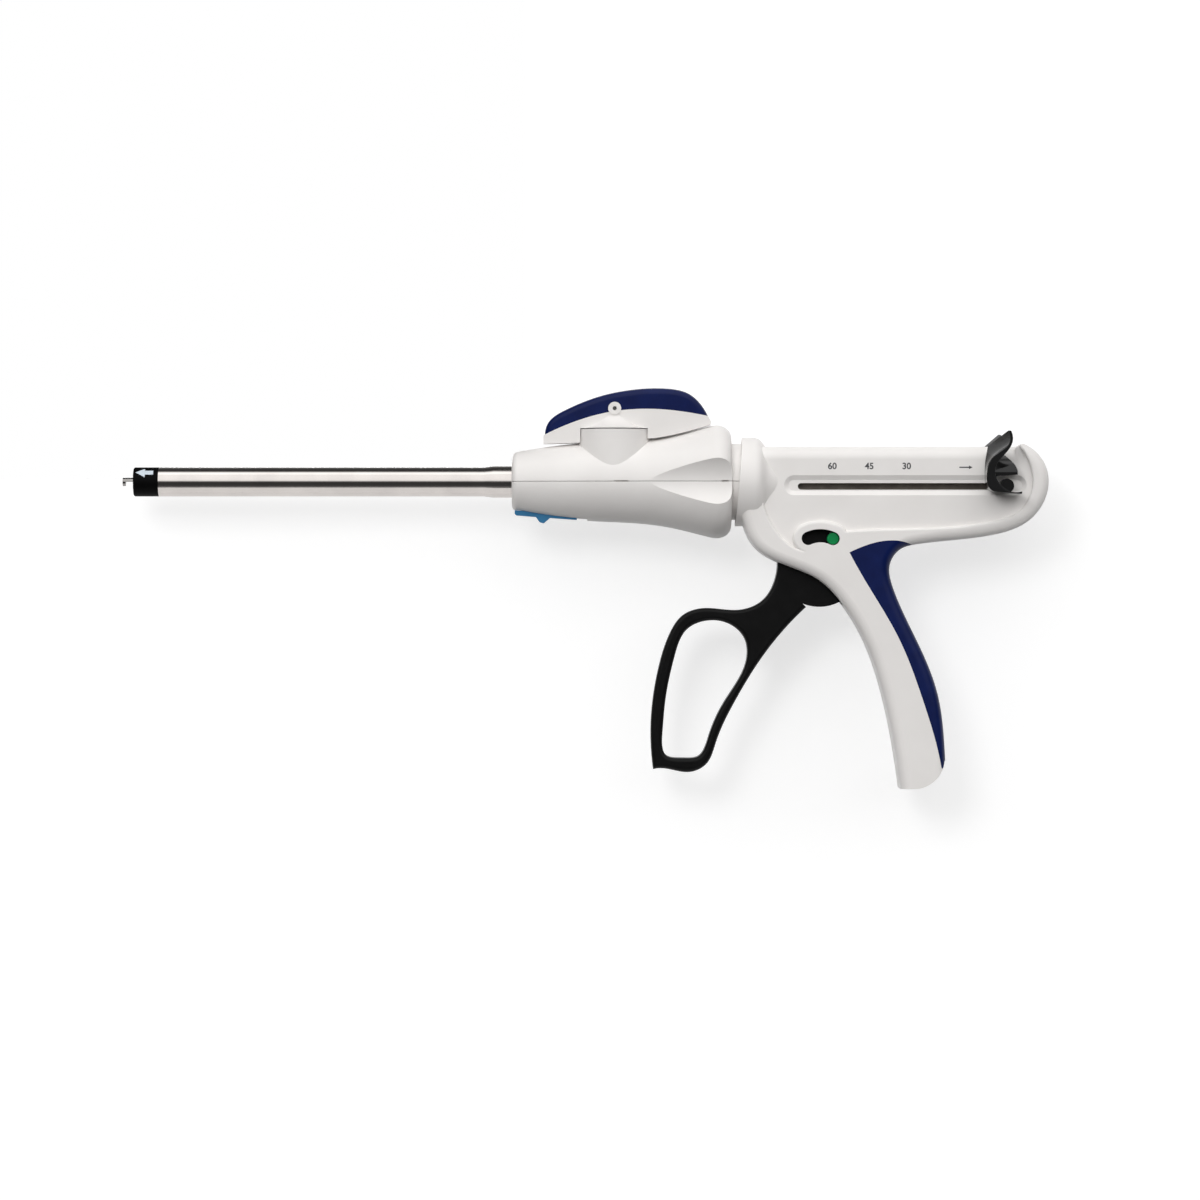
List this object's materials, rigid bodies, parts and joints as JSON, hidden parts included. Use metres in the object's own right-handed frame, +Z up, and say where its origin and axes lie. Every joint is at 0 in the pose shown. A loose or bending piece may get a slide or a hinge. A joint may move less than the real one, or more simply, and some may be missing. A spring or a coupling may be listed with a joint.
{
  "type": "linear surgical stapler",
  "caption": "Pistol-grip handle of a linear surgical stapler: thin steel shaft, rotation knob with swing lever, loop trigger, and wings that slide along the body.",
  "frame": {"origin": "centre of the open face of the loading collar at the tip of the shaft", "axes": "-X along the shaft towards the tip, +Z up with the grip hanging down, Y across the symmetric body"},
  "size_m": [0.3787, 0.054, 0.1637],
  "materials": {
    "white_plastic": "satin moulded",
    "navy_soft": "soft-touch matte",
    "black_grained": "fine grained",
    "black_gloss": "polished",
    "blue_plastic": "smooth",
    "green_plastic": "smooth",
    "shaft_steel": "drawn tube",
    "inner_steel": "machined",
    "spring_steel": "wire",
    "inner_plastic": "moulded"
  },
  "bodies": {
    "housing": {"housing_left": "white_plastic", "housing_right": "white_plastic", "grip_cover": "navy_soft", "trigger_pivot_pin": "inner_steel", "trigger_return_spring": "spring_steel", "anti_reverse_pin": "inner_steel", "anti_reverse_spring": "spring_steel"},
    "trigger": {"trigger": "black_grained", "drive_pawl_pin": "inner_steel", "drive_pawl_spring": "spring_steel"},
    "safety_button": {"safety_button": "green_plastic"},
    "drive_pawl": {"drive_pawl": "inner_steel"},
    "anti_reverse_pawl": {"anti_reverse_pawl": "inner_steel"},
    "rack": {"firing_rack": "inner_steel", "retraction_cross_pin": "inner_steel", "retraction_knob_left": "black_gloss", "retraction_knob_right": "black_gloss"},
    "rotation_knob": {"knob_upper_half": "white_plastic", "knob_lower_half": "white_plastic", "shaft_tube": "shaft_steel", "tube_ferrule": "shaft_steel", "loading_collar": "black_gloss", "shaft_core": "inner_plastic", "unload_spring": "spring_steel"},
    "control_rod": {"control_rod": "shaft_steel"},
    "articulation_lever": {"lever_base": "white_plastic", "lever_cover": "navy_soft", "lever_cover_pin": "inner_steel", "lever_spindle": "inner_steel"},
    "articulation_link": {"articulation_link": "inner_steel"},
    "unload_slider": {"unload_button": "blue_plastic", "unload_latch_bar": "inner_steel"}
  },
  "joints": [
    {"name": "trigger_squeeze", "type": "hinge", "parent": "housing", "child": "trigger", "pos_m": [0.2809, 0, -0.034], "axis": [0, -1, 0], "range_deg": [0, 46], "stiffness_Nm_per_rad": 0.4, "springref_deg": -20.05},
    {"name": "safety_slide", "type": "slide", "parent": "trigger", "child": "safety_button", "axis": [0, 1, 0], "range_m": [-0.002, 0.002]},
    {"name": "drive_pawl_pivot", "type": "hinge", "parent": "trigger", "child": "drive_pawl", "pos_m": [0.29443, 0, -0.02138], "axis": [0, 1, 0], "range_deg": [0, 8], "stiffness_Nm_per_rad": 0.004, "springref_deg": -11.46},
    {"name": "anti_reverse_pivot", "type": "hinge", "parent": "housing", "child": "anti_reverse_pawl", "pos_m": [0.32, 0, -0.014], "axis": [0, -1, 0], "range_deg": [0, 10], "stiffness_Nm_per_rad": 0.004, "springref_deg": -11.46},
    {"name": "rack_slide", "type": "slide", "parent": "housing", "child": "rack", "axis": [-1, 0, 0], "range_m": [0, 0.078]},
    {"name": "knob_spin", "type": "hinge", "parent": "housing", "child": "rotation_knob", "pos_m": [0.248, 0, 0], "axis": [1, 0, 0], "continuous": true},
    {"name": "rod_slide", "type": "slide", "parent": "rotation_knob", "child": "control_rod", "axis": [-1, 0, 0], "range_m": [0, 0.078]},
    {"name": "lever_swing", "type": "hinge", "parent": "rotation_knob", "child": "articulation_lever", "pos_m": [0.1971, 0, 0.0214], "axis": [0, 0, 1], "range_deg": [-45, 45]},
    {"name": "link_slide", "type": "slide", "parent": "rotation_knob", "child": "articulation_link", "axis": [-1, 0, 0], "range_m": [-0.0036, 0.0036]},
    {"name": "unload_slide", "type": "slide", "parent": "rotation_knob", "child": "unload_slider", "axis": [1, 0, 0], "range_m": [0, 0.004], "stiffness_N_per_m": 150, "springref_m": -0.002, "deforming": ["unload_spring"]}
  ],
  "couplings": [
    {"joint": "rod_slide", "follows": "rack_slide", "ratio": 1},
    {"joint": "link_slide", "follows": "lever_swing", "m_per_rad": 0.0045}
  ]
}
